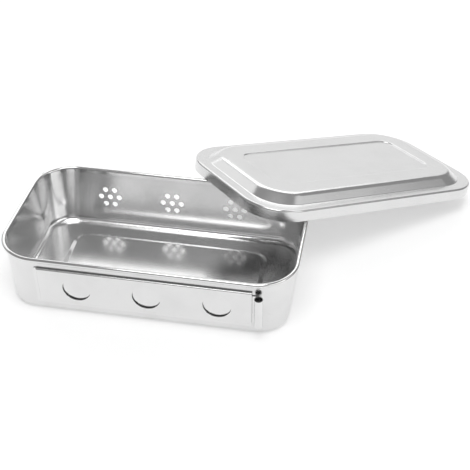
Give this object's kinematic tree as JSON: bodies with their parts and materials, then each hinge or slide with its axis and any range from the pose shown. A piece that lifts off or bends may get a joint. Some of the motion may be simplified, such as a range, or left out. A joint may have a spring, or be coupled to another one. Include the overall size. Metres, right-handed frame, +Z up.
{
  "type": "instrument tray",
  "caption": "Shallow pressed steel instrument tray with a rolled rim, vented long walls, sliding vent shutters with curled finger pulls, and a loose lid leaning on its corner.",
  "frame": {"origin": "on the standing surface under the middle of the tray, the tray alone and not the leaning lid", "axes": "+X along the tray's length, towards the end where the front shutter's finger pull sits; the front wall faces -Y; +Z up, out of the open top"},
  "size_m": [0.3485, 0.2859, 0.0669],
  "materials": {
    "tray_steel": "satin pressed stainless steel, bright on the rolled rim",
    "cover_steel": "polished stainless sheet",
    "shutter_steel": "polished stainless sheet",
    "lid_steel": "fine satin pressed stainless steel"
  },
  "bodies": {
    "tray": {"tray_body": "tray_steel", "front_vent_cover": "cover_steel", "back_vent_cover": "cover_steel"},
    "front_shutter": {"front_shutter": "shutter_steel"},
    "back_shutter": {"back_shutter": "shutter_steel"},
    "lid": {"lid": "lid_steel"}
  },
  "joints": [
    {"name": "front_shutter_slide", "type": "slide", "parent": "tray", "child": "front_shutter", "axis": [1, 0, 0], "range_m": [0, 0.02575]},
    {"name": "back_shutter_slide", "type": "slide", "parent": "tray", "child": "back_shutter", "axis": [1, 0, 0], "range_m": [0, 0.02575]},
    {"name": "lid_lift", "type": "slide", "parent": "tray", "child": "lid", "axis": [0, 0, 1], "range_m": [0, 0.12]}
  ]
}
